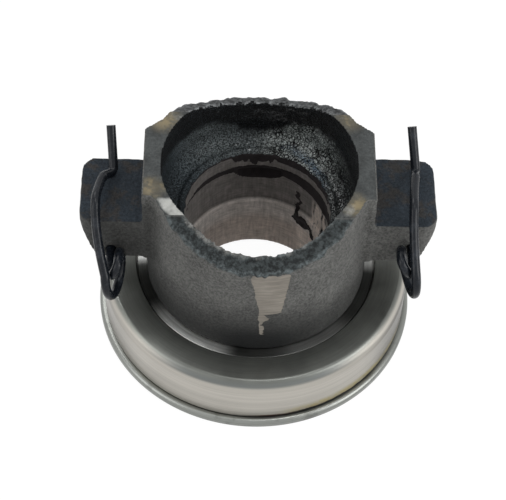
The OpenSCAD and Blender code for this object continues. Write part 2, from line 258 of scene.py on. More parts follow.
class BearingSettings(bpy.types.PropertyGroup):
    """Colours and fineness of the bearing."""

    segments: IntProperty(
        name="Segments", description="Facets around a turned piece", default=256, min=64, max=512
    )
    # Painted shade: the upper face is painted darker than the wall, for the darker reflection it shows
    shell_top: colour("Shell top", "Dull upper face of the pressed shell", 108, 110, 106)
    shell_wall: colour("Shell wall", "Bright wall of the pressed shell", 181, 177, 169)
    # Painted shade: the shoulder is painted darker than the wall, for the darker reflection it shows
    shoulder: colour("Shell shoulder", "Rounding between the upper face and the wall", 116, 119, 117)
    steel: colour("Race steel", "Ground steel of the turning race and the balls", 136, 138, 134)
    oily_steel: colour("Oily steel", "Oily steel of the fixed race", 76, 77, 75)
    # Painted highlights on the fixed race
    race_highlight: colour("Thin oil", "Brighter places of the fixed race", 244, 245, 242)
    # Dark dirt on the races, and the colour of the painted shade in the gap below the shell
    grime_and_shade: colour("Grime", "Dark dirt in the gap below the shell", 24, 23, 21)
    # Rust brown of the painted shade line at the front, and of the cage's stains
    rust: colour("Rust", "Brown line in the gap below the shell", 74, 44, 30)
    oil: colour("Oil", "Yellow oil along the shell's lower edge", 176, 165, 126)
    brass: colour("Cage", "Brass of the ball cage", 176, 138, 72)
    rubber: colour("Seal", "Rubber of the inner seal", 30, 30, 31)


class ClipSettings(bpy.types.PropertyGroup):
    """Wire of the two clips."""

    sides: IntProperty(name="Sides", description="Sides of the round wire", default=24, min=8, max=48)
    wire: colour("Wire", "Black finish of the wire", 20, 24, 30)
    worn: colour("Worn wire", "Wire where the finish has rubbed off", 76, 82, 90)
    cut: colour("Cut ends", "Bare ends of the wire", 150, 151, 152)


class StageSettings(bpy.types.PropertyGroup):
    """Floor, light and camera."""

    floor: length("Floor", "Width of the pale floor", 3000)
    floor_colour: colour("Floor colour", "Pale floor", 250, 250, 250)
    floor_glow: strength("Floor glow", "Brightness of the floor to the eye", 1.06)
    shadow_share: strength("Shadow", "Share of the floor's look that is shaded", 0.1, subtype="FACTOR")
    fill: strength("Fill", "Strength of the light from all around", 0.34)
    left: strength("Left", "Power of the left lamp", 2.0, unit="POWER")
    right: strength("Right", "Power of the right lamp", 4.2, unit="POWER")
    rear: strength("Rear", "Power of the lamp at the rear", 1.6, unit="POWER")
    spark: strength("Spark", "Power of the small overhead lamp", 0.9, unit="POWER")
    lens: strength("Lens", "Focal length of the camera in millimetres", 122.4)
    azimuth: tilt("Azimuth", "Turn of the view to the right of +Y", 1.728)
    elevation: tilt("Elevation", "Height of the view", 53.28)
    roll: tilt("Roll", "Tilt of the picture", 2.435)
    distance: length("Distance", "Distance of the camera from its target", 425)
    target: FloatVectorProperty(
        name="Target",
        description="Place that the camera looks at",
        default=(-0.000736, 0, 0.01977),
        subtype="TRANSLATION",
    )


# Nodes


class Board:
    """Short calls that add nodes to one tree and join them."""

    def __init__(self, tree):
        self.tree = tree

    def node(self, kind, **settings):
        """A new node with its settings."""
        made = self.tree.nodes.new(kind)
        for key, value in settings.items():
            setattr(made, key, value)
        return made

    def node_fed(self, kind, value, **settings):
        """A new node with a value in its first socket."""
        made = self.node(kind, **settings)
        self.feed(made.inputs[0], value)
        return made

    def feed(self, socket, value):
        """Joins a socket to another, or sets it to a number or a colour."""
        if isinstance(value, bpy.types.NodeSocket):
            self.tree.links.new(value, socket)
        elif socket.type == "RGBA":
            socket.default_value = (*value, 1.0)
        else:
            socket.default_value = value

    def feed_named(self, node, **values):
        """Feeds sockets by their names, written in small letters with low lines."""
        for name, value in values.items():
            self.feed(node.inputs[name.replace("_", " ").title()], value)

    def math(self, operation, a, b=0.0, clamp=False):
        """One calculation with one or two values."""
        made = self.node("ShaderNodeMath", operation=operation, use_clamp=clamp)
        self.feed(made.inputs[0], a)
        self.feed(made.inputs[1], b)
        return made.outputs[0]

    def times(self, a, b, clamp=False):
        """One value times another."""
        return self.math("MULTIPLY", a, b, clamp)

    def plus(self, a, b):
        """One value plus another."""
        return self.math("ADD", a, b)

    def mix(self, share, a, b, mode="MIX"):
        """Two colours mixed by a share from 0 to 1."""
        made = self.node("ShaderNodeMix", data_type="RGBA", blend_type=mode)
        factor, low, high = (made.inputs[i] for i in (0, 6, 7))
        self.feed(factor, share)
        self.feed(low, a)
        self.feed(high, b)
        return made.outputs[2]

    def tone(self, base, factor):
        """A colour made darker or lighter by a factor."""
        return self.mix(1.0, base, factor, "MULTIPLY")

    def rise(self, value, low, high):
        """Smooth step from 0 at low to 1 at high."""
        made = self.node("ShaderNodeMapRange", interpolation_type="SMOOTHSTEP")
        self.feed_named(made, value=value, from_min=low, from_max=high)
        return made.outputs["Result"]

    def span(self, value, low, high):
        """A value from 0 to 1 spread between two others."""
        made = self.node("ShaderNodeMapRange")
        self.feed_named(made, value=value, to_min=low, to_max=high)
        return made.outputs["Result"]

    def noise(self, place, scale, detail=2.0, rough=0.5):
        """Soft noise from about 0 to 1."""
        made = self.node("ShaderNodeTexNoise")
        self.feed_named(made, vector=place, scale=scale, detail=detail, roughness=rough)
        return made.outputs[0]

    def patches(self, place, size, detail=2.0, rough=0.5):
        """Noise with patches of about a given size."""
        return self.noise(place, 1 / size, detail, rough)

    def place(self):
        """The place on the piece, in metres."""
        return self.node("ShaderNodeTexCoord").outputs["Object"]

    def parts(self, vector):
        """The x, y and z of a vector."""
        return self.node_fed("ShaderNodeSeparateXYZ", vector).outputs

    def radius(self, vector):
        """Distance of a place from the Z axis."""
        flat = self.node_fed("ShaderNodeVectorMath", vector, operation="MULTIPLY")
        flat.inputs[1].default_value = (1, 1, 0)
        return self.node_fed("ShaderNodeVectorMath", flat.outputs[0], operation="LENGTH").outputs["Value"]

    def joined(self, *parts):
        """A vector from its three parts."""
        made = self.node("ShaderNodeCombineXYZ")
        for socket, part in zip(made.inputs, parts):
            self.feed(socket, part)
        return made.outputs[0]

    def mask(self, name):
        """A share that the mesh keeps."""
        return self.node("ShaderNodeAttribute", attribute_name=name).outputs["Fac"]

    def broken_mask(self, name, noise, share, low, high):
        """A share that the mesh keeps, with its edge broken up by noise."""
        return self.rise(self.plus(self.mask(name), self.times(noise, share)), low, high)

    def group(self, tree, **values):
        """The outputs of a node group that is placed with its own values."""
        made = self.node("ShaderNodeGroup", node_tree=tree)
        self.feed_named(made, **values)
        return made.outputs

    def bump(self, height, distance):
        """The surface's normal, tilted by a relief."""
        made = self.node("ShaderNodeBump")
        self.feed_named(made, height=height, distance=distance)
        return made.outputs["Normal"]


def new_material(name, **sockets):
    """A material with one Principled shader, and the board that its nodes go on."""
    made = bpy.data.materials.new(name)
    made.use_nodes = True
    board = Board(made.node_tree)
    shader = made.node_tree.nodes["Principled BSDF"]
    for socket, value in sockets.items():
        shader.inputs[socket.replace("_", " ")].default_value = value
    return made, board, shader


def dress(board, shader, base, roughness, height, depth):
    """Joins a material's colour, roughness and relief to its shader."""
    relief = board.bump(height, depth)
    board.feed_named(shader, base_color=base, roughness=roughness, normal=relief)


def new_group(name, inputs, outputs):
    """A shader group with float inputs beside its Vector, and float outputs."""
    tree = bpy.data.node_groups.new(name, "ShaderNodeTree")
    tree.interface.new_socket("Vector", in_out="INPUT", socket_type="NodeSocketVector")
    for socket, value in inputs.items():
        made = tree.interface.new_socket(socket, in_out="INPUT", socket_type="NodeSocketFloat")
        made.default_value = value
    for socket in outputs:
        tree.interface.new_socket(socket, in_out="OUTPUT", socket_type="NodeSocketFloat")
    board = Board(tree)
    return tree, board, board.node("NodeGroupInput").outputs, board.node("NodeGroupOutput").inputs


def cast_grain():
    """Grain of a sand casting: its height, and a tone that follows it."""
    if "cast_grain" in bpy.data.node_groups:
        return bpy.data.node_groups["cast_grain"]
    tree, board, given, out = new_group("cast_grain", {"Size": MM}, ("Height", "Tone"))
    scale = board.math("DIVIDE", 1.0, given["Size"])
    coarse = board.noise(given["Vector"], scale, 3.0, 0.6)
    fine = board.noise(given["Vector"], board.times(scale, 2.7), 2.0, 0.6)
    height = board.plus(board.times(coarse, 0.6), board.times(fine, 0.4))
    board.feed(out["Height"], height)
    board.feed(out["Tone"], board.rise(height, 0.36, 0.64))
    return tree


def turned_marks():
    """Fine lines around Z, as a lathe or a polishing wheel leaves them."""
    if "turned_marks" in bpy.data.node_groups:
        return bpy.data.node_groups["turned_marks"]
    tree, board, given, out = new_group("turned_marks", {"Pitch": MM, "Waver": 1.0}, ("Height", "Tone"))
    x, y, z = board.parts(given["Vector"])
    radius = board.radius(given["Vector"])
    line = board.math("DIVIDE", board.plus(radius, z), given["Pitch"])
    around = [board.times(board.math("DIVIDE", part, radius), given["Waver"]) for part in (x, y)]
    height = board.noise(board.joined(line, *around), 1.0, 3.0, 0.65)
    board.feed(out["Height"], height)
    board.feed(out["Tone"], board.rise(height, 0.35, 0.65))
    return tree


def ragged_stain():
    """Patches with ragged edges, which cover a given share of the surface."""
    if "ragged_stain" in bpy.data.node_groups:
        return bpy.data.node_groups["ragged_stain"]
    tree, board, given, out = new_group("ragged_stain", {"Size": 5 * MM, "Cover": 0.4}, ("Mask",))
    patches = board.noise(given["Vector"], board.math("DIVIDE", 1.0, given["Size"]), 6.0, 0.62)
    level = board.math("SUBTRACT", 1.0, given["Cover"])
    soft = 0.06
    low, high = board.math("SUBTRACT", level, soft), board.plus(level, soft)
    board.feed(out["Mask"], board.rise(patches, low, high))
    return tree


# Carrier


def cast_iron(tint):
    """Blasted casting with painted shade, a dark rim whose rear part is painted lighter as a reflection,
    dark ear tops and a ground gate mark.
    """
    made, board, shader = new_material("cast_iron", Specular_IOR_Level=0.2, IOR=1.5)
    place = board.place()
    grain = board.group(cast_grain(), vector=place, size=0.62 * MM)
    patches = board.patches(place, 7 * MM, 3.0, 0.6)
    share = board.plus(board.times(grain["Tone"], 0.5), board.times(patches, 0.6))
    # Painted shade: the casting darkens where the soot mask is high
    light = board.times(share, board.math("SUBTRACT", 1.0, board.mask("soot")), clamp=True)
    base = board.mix(light, tint.iron_dark, tint.iron)
    stain = board.group(ragged_stain(), vector=place, size=5 * MM, cover=0.45)["Mask"]
    ear = board.mix(board.times(stain, 0.7), tint.ear_top, tint.ear_brown)
    ear = board.tone(ear, board.span(share, 0.2, 1.7))
    base = board.mix(board.mask("ear_top"), base, ear)
    # Painted highlight: the rear rim takes the lighter colour
    rims = board.mix(board.mask("rim_rear"), tint.rim, tint.rim_rear)
    clumps = board.rise(board.patches(place, 1.1 * MM, 3.0, 0.65), 0.36, 0.66)
    specks = board.times(board.span(clumps, 0.4, 1.5), board.span(board.mask("rim_edge"), 0.85, 2.0))
    specks = board.times(specks, board.span(grain["Tone"], 0.75, 1.25))
    rims = board.tone(rims, specks)
    ragged = board.patches(place, 1.2 * MM, 4.0, 0.65)
    bare = board.broken_mask("rim_bare", ragged, 1.6, 1.1, 1.9)
    rims = board.mix(bare, rims, board.tone(tint.iron, board.span(clumps, 0.6, 1.4)))
    base = board.mix(board.mask("rim"), base, rims)
    gate = board.broken_mask("gate", ragged, 1.1, 0.94, 1.06)
    streaks = board.group(turned_marks(), vector=place, pitch=0.5 * MM, waver=4.0)
    ground = board.tone(tint.gate, board.span(streaks["Tone"], 0.82, 1.12))
    ground = board.tone(ground, board.span(patches, 0.75, 1.25))
    base = board.mix(gate, base, ground)
    height = board.times(grain["Height"], board.span(gate, 1.0, 0.2))
    dress(board, shader, base, board.span(gate, 0.74, 0.49), height, 0.4 * MM)
    return made


def mouth_coat(tint):
    """Thick black coat in the mouth: painted light on its floor as a pale grain, cracked into wet beads
    where it has run, with painted glints on its wall and a painted bluish sheen beside the bore.
    """
    made, board, shader = new_material(
        "mouth_coat", Specular_IOR_Level=0.1, IOR=1.5, Coat_Roughness=0.12, Coat_IOR=1.5
    )
    place = board.place()
    wet, lit = board.mask("wet"), board.mask("lit")
    fine = board.patches(place, 0.34 * MM, 3.0, 0.6)
    slow = board.patches(place, 4 * MM, 3.0, 0.6)
    ripple = board.patches(place, 0.8 * MM)
    shift = board.node_fed("ShaderNodeVectorMath", ripple, operation="SCALE")
    board.feed_named(shift, scale=0.5 * MM)
    warped = board.node_fed("ShaderNodeVectorMath", place, operation="ADD")
    board.feed(warped.inputs[1], shift.outputs[0])
    cells = board.node_fed("ShaderNodeTexVoronoi", warped.outputs[0], feature="DISTANCE_TO_EDGE")
    board.feed_named(cells, scale=1 / (0.9 * MM))
    cracks = board.rise(board.plus(cells.outputs["Distance"], board.span(slow, -0.25, 0.3)), 0.0, 0.2)
    open_share = board.mix(wet, (1, 1, 1), cracks)
    # Painted light on the floor: a pale grain, and lit wet beads on the right
    pale = board.mix(wet, tint.mouth_lit, tint.lit_mouth_beads)
    pale = board.tone(pale, board.span(board.rise(fine, 0.36, 0.68), 0.2, 1.8))
    pale = board.tone(pale, board.span(slow, 0.6, 1.4))
    # Painted glints on the dark wall
    glints = board.times(board.rise(fine, 0.52, 0.68), board.span(slow, 0.2, 1.2))
    wall = board.mix(glints, tint.mouth, tint.mouth_lit)
    base = board.mix(lit, wall, board.tone(pale, open_share))
    # Painted bluish sheen beside the bore
    sheen = board.times(board.mask("sheen"), board.rise(fine, 0.42, 0.62))
    base = board.mix(sheen, base, tint.mouth_sheen)
    shine = board.times(board.rise(fine, 0.5, 0.64), board.span(wet, 0.15, 1.0))
    board.feed_named(shader, coat_weight=shine)
    relief = board.plus(fine, board.times(cracks, wet))
    dress(board, shader, base, board.span(wet, 0.6, 0.4), relief, 0.35 * MM)
    return made


def bored_land(tint):
    """Turned bore with scratches along it, a duller recess, rust at its foot, black grease, and painted
    shade under the upper land and at the slot.
    """
    made, board, shader = new_material("bored_land", Specular_IOR_Level=0.1, IOR=1.5)
    place = board.place()
    x, y, z = board.parts(place)
    marks = board.group(turned_marks(), vector=place, pitch=0.5 * MM, waver=5.0)
    along = board.joined(x, y, board.times(z, 0.1))
    scratches = board.patches(along, 0.6 * MM, 4.0, 0.7)
    blotches = board.patches(place, 3 * MM, 4.0, 0.65)
    low = board.rise(z, (RECESS_LOW_Z + 0.9) * MM, (RECESS_LOW_Z + 0.1) * MM)
    base = board.mix(low, tint.bore_dark, tint.bore)
    foot = board.rise(z, 14 * MM, 9.5 * MM)
    base = board.mix(board.times(foot, 0.35), base, tint.bore_foot)
    base = board.mix(board.mask("flake"), base, tint.bore_flake)
    lip = board.times(low, board.rise(z, (RECESS_LOW_Z - 0.9) * MM, RECESS_LOW_Z * MM))
    fleck = board.times(board.span(marks["Tone"], 0.85, 1.1), board.span(scratches, 0.45, 1.55))
    fleck = board.times(fleck, board.span(blotches, 0.5, 1.5))
    base = board.tone(base, board.plus(fleck, board.times(lip, 0.3)))
    ragged = board.patches(place, 1.1 * MM, 4.0, 0.65)
    # The grease colour also paints shade under the upper land and at the slot
    grease = board.broken_mask("grease", ragged, 0.9, 0.84, 0.96)
    smears = board.tone(tint.grease, board.span(blotches, 0.3, 1.7))
    base = board.mix(grease, base, smears)
    board.feed_named(shader, metallic=board.span(grease, 0.15, 0.0))
    height = board.plus(board.times(marks["Height"], 0.4), board.times(scratches, 0.6))
    dress(board, shader, base, board.span(grease, 0.62, 0.75), height, 0.12 * MM)
    return made


def ground_pad(tint):
    """Ground pads with tan stains and bright ends."""
    made, board, shader = new_material("ground_pad", Metallic=0.15, Specular_IOR_Level=0.25, IOR=1.5)
    place = board.place()
    grain = board.group(cast_grain(), vector=place, size=0.6 * MM)
    patches = board.patches(place, 3.5 * MM, 5.0, 0.65)
    tone = board.times(board.span(patches, 0.1, 1.9), board.span(grain["Tone"], 0.75, 1.25))
    base = board.tone(tint.pad, tone)
    stain = board.group(ragged_stain(), vector=place, size=4.0 * MM, cover=0.5)["Mask"]
    tan = board.times(board.span(stain, 0.35, 1.0), board.mask("tan"))
    base = board.mix(board.times(tan, 0.85), base, tint.tan)
    bright = board.broken_mask("bright", patches, 0.8, 0.75, 1.25)
    base = board.mix(bright, base, board.tone(tint.pad_bright, board.span(patches, 0.6, 1.4)))
    dress(board, shader, base, board.span(patches, 0.65, 0.45), grain["Height"], 0.14 * MM)
    return made


def field(points, size, octaves=3, seed=0.0):
    """Noise from about -1 to 1 at each point, with patches about size millimetres across."""
    shift = Vector((seed, 2 * seed, -seed))
    return np.array([noise.fractal(Vector(p) / size + shift, 1.0, 2.0, octaves) for p in points])


def step(value, low, high):
    """Smooth step from 0 at low to 1 at high, for whole arrays."""
    share = np.clip((value - low) / (high - low), 0, 1)
    return share * share * (3 - 2 * share)


def fall(value, low, high):
    """Smooth step from 1 at low to 0 at high."""
    return step(-value, -high, -low)


def plateau(value, middle, flat, reach):
    """1 within a flat distance of a middle, falling to 0 at its reach."""
    return fall(np.abs(value - middle), flat, reach)


def hump(value, middle, half):
    """A smooth hump of height 1 around a middle."""
    return 1 - step(np.abs(value - middle), 0, half)


def turn_from(points, degrees):
    """Angle in degrees of each point around Z, measured from a given one."""
    angle = np.degrees(np.arctan2(points[:, 1], points[:, 0])) - degrees
    return (angle + 180) % 360 - 180


def rim_height(y):
    """Height of the collar's rim, level at the pads and falling beyond them."""
    return PAD_Z - np.maximum(np.abs(y) - PAD_HALF, 0) * math.tan(RIM_FALL)


def rim_depth(places):
    """How far each point lies below the rim, square to it."""
    return (rim_height(places[:, 1]) - places[:, 2]) * math.cos(RIM_FALL)


def plain_mesh(obj):
    """The evaluated mesh of an object, with its modifiers removed from it."""
    graph = bpy.context.evaluated_depsgraph_get()
    mesh = bpy.data.meshes.new_from_object(obj.evaluated_get(graph))
    obj.modifiers.clear()
    return mesh


def add_object(name, data):
    """A new object in the scene."""
    obj = bpy.data.objects.new(name, data)
    bpy.context.scene.collection.objects.link(obj)
    return obj


def merge_doubles(mesh, turn_out=True):
    """Merges points that lie on one another, and turns the faces outwards."""
    work = bmesh.new()
    work.from_mesh(mesh)
    bmesh.ops.remove_doubles(work, verts=work.verts, dist=MERGE_GAP)
    if turn_out:
        bmesh.ops.recalc_face_normals(work, faces=work.faces)
    work.to_mesh(mesh)
    work.free()


def carrier_skin(voxel):
    """The carrier's solid as an even skin of small faces."""
    mesh = frame["nodes"]["carrier"].data.copy()
    merge_doubles(mesh, turn_out=False)
    obj = add_object("cast_carrier", mesh)
    remesh = obj.modifiers.new("skin", "REMESH")
    remesh.mode = "VOXEL"
    remesh.voxel_size = voxel
    obj.data = plain_mesh(obj)
    return obj


def vertex_arrays(mesh):
    """Places in millimetres and normals of a mesh's vertices."""
    places = np.empty(len(mesh.vertices) * 3)
    normals = np.empty(len(mesh.vertices) * 3)
    mesh.vertices.foreach_get("co", places)
    mesh.vertices.foreach_get("normal", normals)
    return places.reshape(-1, 3) / MM, normals.reshape(-1, 3)


def true_faces(places):
    """Sets the machined faces back to their exact sizes after the skin was rebuilt."""
    radius = np.hypot(places[:, 0], places[:, 1])
    z = places[:, 2]
    near = 0.25
    lands = (z < RECESS_LOW_Z - near) | ((z > RECESS_HIGH_Z + near) & (z < FLOOR_Z - near))
    recess = (z > RECESS_LOW_Z + RECESS_DEPTH + near) & (z < RECESS_HIGH_Z - near)
    wanted = np.where(lands, BORE_R, np.where(recess, BORE_R + RECESS_DEPTH, radius))
    bored = (np.abs(radius - wanted) < near) & (z > CARRIER_LOW.z + 2 * near)
    nose = (np.abs(radius - NOSE_R) < near) & (z < COLLAR_SEAT_Z - near) & (z > CARRIER_LOW.z + 2 * near)
    wanted = np.where(nose, NOSE_R, wanted)
    share = np.where(bored | nose, wanted / np.maximum(radius, near), 1.0)
    places[:, :2] *= share[:, None]
    padded = (np.abs(z - PAD_Z) < near) & (np.abs(places[:, 1]) < PAD_HALF - near)
    places[padded, 2] = PAD_Z


def gate_share(places):
    """How far each point lies inside the ground gate mark on the barrel's front, from 0 to 1."""
    x, y, z = places.T
    soft = 0.7
    below = 46.2 - z
    left = -1.9 + 0.16 * below
    right = 7.6 - 0.12 * below
    block = step(x, left - soft, left + soft) * fall(x, right - soft, right + soft)
    block *= step(z, GATE_LOW_Z - soft, GATE_LOW_Z + soft) * fall(z, GATE_TOP_Z - soft, GATE_TOP_Z + soft)
    waver = field(places * (0, 0, 1), 2.3, 3, 29.0)
    tail_x = 1.2 + 0.5 * waver
    tail_half = 0.75 - 0.05 * (GATE_LOW_Z - z) + 0.7 * waver
    tail = step(tail_half - np.abs(x - tail_x), -soft, soft) * step(z, GATE_END_Z - 1, GATE_END_Z + 1)
    return np.maximum(block, tail * (z < GATE_LOW_Z + 2)) * (y < -20)


def rim_masks(places):
    """Shares of the rough rim, its rear part, which is painted lighter as a reflection of light from
    behind, its edges and the bare inner edge in front.
    """
    x, y, _ = places.T
    radius = np.hypot(x, y)
    off_pads = step(np.abs(y), PAD_HALF - 0.6, PAD_HALF + 0.4)
    inner_edge = fall(radius, MOUTH_R + 0.3, MOUTH_R + 0.9)
    bare = fall(radius, MOUTH_R + 0.1, MOUTH_R + 1.8) * fall(y, -17, -14)
    return {
        "rim": fall(rim_depth(places), 0.35, 0.9) * off_pads * (radius > MOUTH_R - 0.2),
        "rim_rear": (y > 0).astype(float),
        "rim_edge": np.maximum(inner_edge, step(radius, RIM_R - 0.7, RIM_R - 0.2)),
        "rim_bare": bare * (0.6 + 0.4 * fall(x, -10, 0)),
    }


def painted_shade_share(places):
    """Painted shade on the barrel, the left ear's front and beside the left ear, from 0 to 1: the barrel
    darker towards its foot and front, less shaded on the right.
    """
    x, y, z = places.T
    radius = np.hypot(x, y)
    dark = 0.82 + 0.18 * hump(turn_from(places, -90), 0, 40)
    lighter = 0.18 * step(x, 6, 20) * fall(y, -14, 6) - 0.06 * hump(x, 0, 12)
    barrel = (dark * fall(z, 19, 37) - lighter) * (radius < FLAT_X + 1)
    ear_front = 0.5 * (x < -FLAT_X) * fall(y, EAR_FRONT_Y, EAR_FRONT_Y + 1)
    beside_ear = 0.55 * fall(x, -25.5, -21) * fall(y, -5, -1) * (radius > MOUTH_R + 1)
    beside_ear *= fall(z, PAD_Z - 5, PAD_Z - 2)
    return np.maximum.reduce([barrel, ear_front, beside_ear])


def pad_masks(places):
    """Shares of the bright ends and the tan stains on the pads."""
    x, y, _ = places.T
    front_end = fall(y, -11.4, -9.2) * fall(np.hypot(x, y), 25.2, 27.0) * np.where(x < 0, 0.8, 0.42)
    rear_end = 0.4 * step(y, PAD_HALF - 4.6, PAD_HALF - 1.6) * fall(np.abs(x), 21.5, 25.5)
    tan = np.zeros(len(places))
    for at_x, at_y, reach in TAN_STAINS:
        tan = np.maximum(tan, fall(np.hypot(x - at_x, y - at_y), 0.1 * reach, 1.3 * reach))
    return {"bright": np.maximum(front_end, rear_end), "tan": tan}


def mouth_masks(places):
    """Shares of the mouth's coat that are wet, that get painted light, and that get a painted bluish sheen.
    """
    x, y, z = places.T
    turn = turn_from(places, 0)
    # Painted light: the pale zone reaches up to this height and is dimmed on the right and the left
    lit_top = 44.6 - 6.4 * hump(turn, 90, 34) + 2.5 * step(turn, 140, 170) - 2.5 * fall(turn, 15, 40)
    lit_top += 0.9 * field(places, 3.0, 3, 33.0)
    dim_right = 1 - 0.78 * fall(turn, 18, 54)
    dim_left = 1 - 0.6 * step(turn, 146, 172)
    # Painted reflection: the bluish sheen follows the bore's edge
    sheen_r = 19.0 + 0.05 * (turn - SHEEN_TURN)
    sheen = 0.7 * hump(turn, SHEEN_TURN, 34) * hump(np.hypot(x, y), sheen_r, 1.5) * (z < FLOOR_Z + 2)
    return {
        "wet": np.clip(0.9 * step(x, -3, 7) + 0.2 * step(y, 8, 20), 0, 1),
        "lit": step(lit_top - z, -1.2, 1.4) * dim_right * dim_left,
        "sheen": sheen,
    }


def ear_top_share(places, normals):
    """The ears' upper faces, from 0 to 1."""
    x, _, z = places.T
    level = step(normals[:, 2], 0.4, 0.8) * step(z, EAR_TOP_Z - 1, EAR_TOP_Z - 0.4)
    return level * (np.abs(x) > FLAT_X) * (z < EAR_TOP_Z + 1)


def carrier_masks(places, normals):
    """Shares from 0 to 1 that say which finish each point of the carrier has."""
    return {
        **rim_masks(places),
        "ear_top": ear_top_share(places, normals),
        "soot": painted_shade_share(places),
        "gate": gate_share(places),
        **pad_masks(places),
        **mouth_masks(places),
        "grease": grease_and_shade_share(places),
        "flake": flake_share(places),
    }


def right_side(turn, z):
    """The streaked side of the bore, right of the crack, from 0 to 1."""
    return plateau(turn, STREAK_TURN, 8, 13) * step(z, 12, 14) * fall(z, 24, 26)


def bore_streaks(places):
    """Dark streaks along the bore, from 0 to 1."""
    return step(field(places * (1, 1, 0.15), 1.1, 3, 45.0), -0.05, 0.3)


def flake_share(places):
    """How far the bore's right side is bare and light, from 0 to 1."""
    turn, z = turn_from(places, 0), places[:, 2]
    flakes = 0.9 * right_side(turn, z) * (1 - bore_streaks(places))
    pale_foot = 0.7 * plateau(turn, 42, 6, 13) * step(z, 2, 5) * fall(z, 11, 13)
    return np.maximum(flakes, pale_foot)


def crack_share(places, turn):
    """The crack down the bore's right side with its blob and its branch, from 0 to 1."""
    z = places[:, 2]
    waver = field(places * (0, 0, 1), 2.0, 3, 37.0)
    crack = plateau(turn, CRACK_TURN + 3 * waver, 1, 3.6 + 1.5 * waver)
    crack *= step(z, 12.6, 13.4) * fall(z, 24.2, 25.4) * (0.62 + 0.38 * fall(z, 15.5, 17.5))
    blob = fall(np.hypot((turn - BLOB_TURN) / 7.4, (z - BLOB_Z) / 2.1), 0.7, 1.2)
    branch_turn = 33 + 1.7 * (z - 11.5)
    branch = plateau(turn, branch_turn, 1.4, 3.2) * step(z, 10.8, 11.8) * fall(z, 15, 17)
    return np.maximum.reduce([crack, blob, branch])


def grease_and_shade_share(places):
    """How much black grease and painted shade lie on each point of the bore, from 0 for none; the shade is
    the line under the upper land and the slot.
    """
    x, y, z = places.T
    turn = turn_from(places, 0)
    under = z < RECESS_HIGH_Z - 0.1
    # Painted shade: a dark line under the upper land, and a dark slot at the back
    line_z = np.where((turn > 0) & (turn < 70), 25.0 + 0.06 * (turn - 15), 29.2)
    line = 1.2 * step(z, line_z - 0.9, line_z + 0.5) * under
    reach = np.abs(turn - SLOT_TURN) / 20
    slot_z = 26.1 + 2.6 * reach**4
    slot = 1.2 * step(z, slot_z - 0.3, slot_z + 0.3) * (reach < 1.1) * under
    hang = 1.8 * field(places * (1, 1, 0), 1.3, 3, 41.0) + 0.12 * np.abs(turn - DRIP_TURN)
    drips = 0.9 * step(z - hang, RECESS_HIGH_Z + 0.2, RECESS_HIGH_Z + 1.8)
    drips *= plateau(turn, DRIP_TURN, 18, 24)
    lip = step(z, FLOOR_Z - 3.0, FLOOR_Z - 1.8) * plateau(turn, 42, 26, 36)
    edge = 0.8 * step(z, FLOOR_Z - 1.0, FLOOR_Z - 0.4) * step(turn, -60, -30)
    streaks = 0.5 * bore_streaks(places) * right_side(turn, z)
    found = np.maximum.reduce([line, slot, crack_share(places, turn), streaks, drips, lip, edge])
    return found * (np.hypot(x, y) < BORE_R + 1.8)


def carrier_zones(places, normals):
    """Material slot of each point: 0 casting, 1 mouth, 2 bore, 3 pad."""
    x, y, z = places.T
    radius = np.hypot(x, y)
    depth = rim_height(y) - z
    along_pads = np.abs(y) < PAD_HALF
    lapped = step(y, PAD_HALF, PAD_HALF + 3) * np.clip(0.35 + 0.7 * field(places, 2.0, 3, 25.0), 0, 1.2)
    coated = (radius < MOUTH_R + 0.15 + lapped) & (depth > 0.3 * (y < PAD_HALF) - 0.2)
    zones = np.zeros(len(places), int)
    zones[(depth < 0.3) & along_pads & (normals[:, 2] > 0.6) & (radius > MOUTH_R - 0.4)] = 3
    zones[coated & (z > FLOOR_Z - 0.1)] = 1
    zones[(radius < BORE_R + RECESS_DEPTH + 0.4) & (z <= FLOOR_Z - 0.1)] = 2
    return zones


def dish(places, inner, round_r):
    """Rounds the corner between the mouth's floor and its wall."""
    radius = np.hypot(places[:, 0], places[:, 1])
    at_r, at_z = MOUTH_R - round_r, FLOOR_Z + round_r
    off_r, off_z = radius - at_r, places[:, 2] - at_z
    corner = inner & (off_r > 0) & (off_z < 0)
    share = round_r / np.maximum(np.hypot(off_r, off_z), TINY)
    new_radius = np.where(corner, at_r + off_r * share, radius)
    places[:, :2] *= (new_radius / np.maximum(radius, TINY))[:, None]
    places[:, 2] = np.where(corner, at_z + off_z * share, places[:, 2])


def ragged_rim(places):
    """How far the rim's edges stand out, or are broken away in front."""
    y = places[:, 1]
    radius = np.hypot(places[:, 0], y)
    edge = fall(rim_depth(places), 0.4, 2.2) * step(np.abs(y), PAD_HALF, PAD_HALF + 2.5)
    lumps = field(places, 2.4, 3, 13.0)
    outer = 0.6 * lumps * step(radius, RIM_R - 1.6, RIM_R - 0.2)
    broken = 0.9 * np.clip(lumps + 0.1, 0, 1) * fall(radius, MOUTH_R, MOUTH_R + 1.2) * (y < 0)
    return edge * (outer - broken)


def rim_flash(places):
    """Share of the full height that the ragged flash on the rear rim has, lower on the left."""
    x, y, _ = places.T
    ridge = np.clip(0.7 + 0.32 * field(places * (1, 1, 0), 2.2, 4, 17.0), 0, 1.2)
    rear = step(y, PAD_HALF, PAD_HALF + 4) * step(np.hypot(x, y), MOUTH_R, MOUTH_R + 1.2)
    return ridge * rear * (0.6 + 0.4 * step(x, -14, -4))


